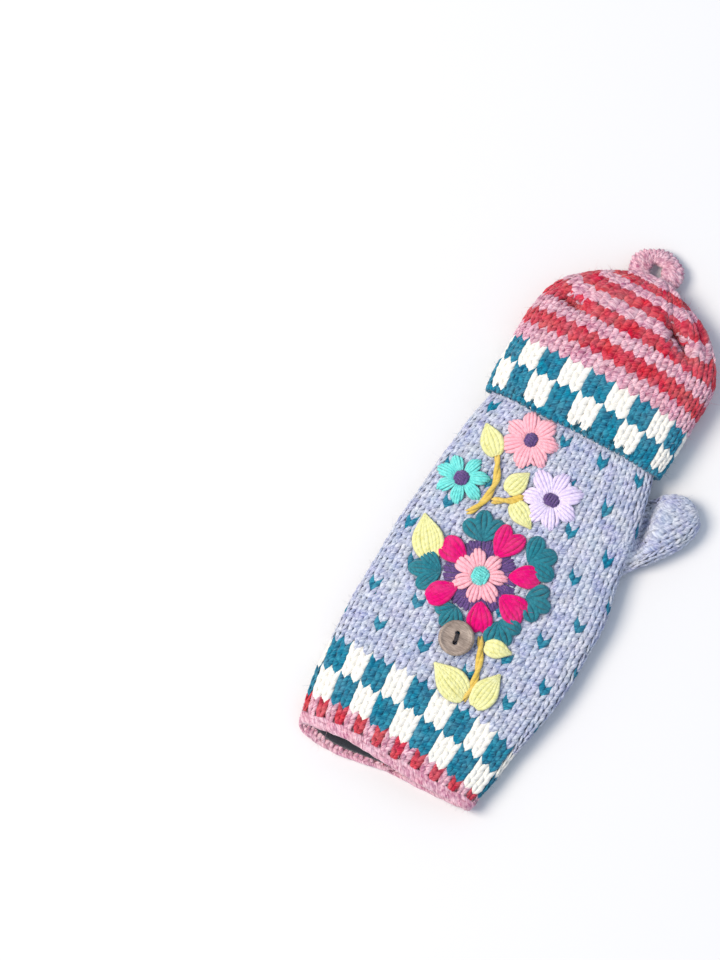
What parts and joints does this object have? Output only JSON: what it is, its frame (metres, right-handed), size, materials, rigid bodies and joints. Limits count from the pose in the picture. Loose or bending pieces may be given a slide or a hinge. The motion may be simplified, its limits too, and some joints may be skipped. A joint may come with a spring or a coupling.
{
  "type": "convertible mitten",
  "caption": "Knitted hand tube with a thumb and a hood over the fingers that folds back and buttons to the back of the hand, with raised wool embroidery.",
  "frame": {"origin": "on the flat underside of the palm, a little nearer the cuff than midway along, where it rests on a table", "axes": "+X towards the thumb side, +Y towards the fingertips, +Z from the palm up through the back of the hand"},
  "size_m": [0.1363, 0.2973, 0.0258],
  "materials": {
    "grey_wool": "thick hand-knitted lavender-grey wool, slightly fuzzy",
    "teal_wool": "teal knitting wool",
    "white_wool": "off-white knitting wool",
    "red_wool": "coral red knitting wool",
    "pink_wool": "heathered pink knitting and crochet wool",
    "dark_fleece": "near-black napped fleece",
    "coconut_shell": "ground and polished coconut shell",
    "dark_thread": "dark sewing thread",
    "light_pink_wool": "light pink embroidery wool",
    "lilac_wool": "lilac embroidery wool",
    "turquoise_wool": "turquoise embroidery wool",
    "purple_wool": "dark purple embroidery wool",
    "magenta_wool": "magenta embroidery wool",
    "dark_green_wool": "dark teal-green embroidery wool",
    "leaf_green_wool": "pale yellow-green embroidery wool",
    "mustard_wool": "twisted mustard embroidery wool"
  },
  "bodies": {
    "root": {"knitted_body": "grey_wool", "cuff_lining": "dark_fleece", "hood": "red_wool", "hood_loop": "pink_wool", "button": "coconut_shell", "button_thread": "dark_thread", "pink_flower_centre": "purple_wool", "pink_flower_petals": "light_pink_wool", "lilac_flower_centre": "purple_wool", "lilac_flower_petals": "lilac_wool", "turquoise_flower_centre": "purple_wool", "turquoise_flower_petals": "turquoise_wool", "magenta_petal_1": "magenta_wool", "magenta_petal_2": "magenta_wool", "magenta_petal_3": "magenta_wool", "magenta_petal_4": "magenta_wool", "magenta_petal_5": "magenta_wool", "magenta_petal_6": "magenta_wool", "rosette_ground": "purple_wool", "rosette_centre": "turquoise_wool", "rosette_light_petals": "light_pink_wool", "upper_stem": "mustard_wool", "branch_stem": "mustard_wool", "lower_stem": "mustard_wool", "leaf_1": "leaf_green_wool", "leaf_2": "leaf_green_wool", "leaf_3": "leaf_green_wool", "leaf_4": "leaf_green_wool", "leaf_5": "leaf_green_wool", "leaf_6": "leaf_green_wool", "leaf_7": "leaf_green_wool", "leaf_cluster_1": "dark_green_wool", "leaf_cluster_2": "dark_green_wool", "leaf_cluster_3": "dark_green_wool", "leaf_cluster_4": "dark_green_wool", "leaf_cluster_5": "dark_green_wool", "leaf_cluster_6": "dark_green_wool"}
  },
  "joints": []
}
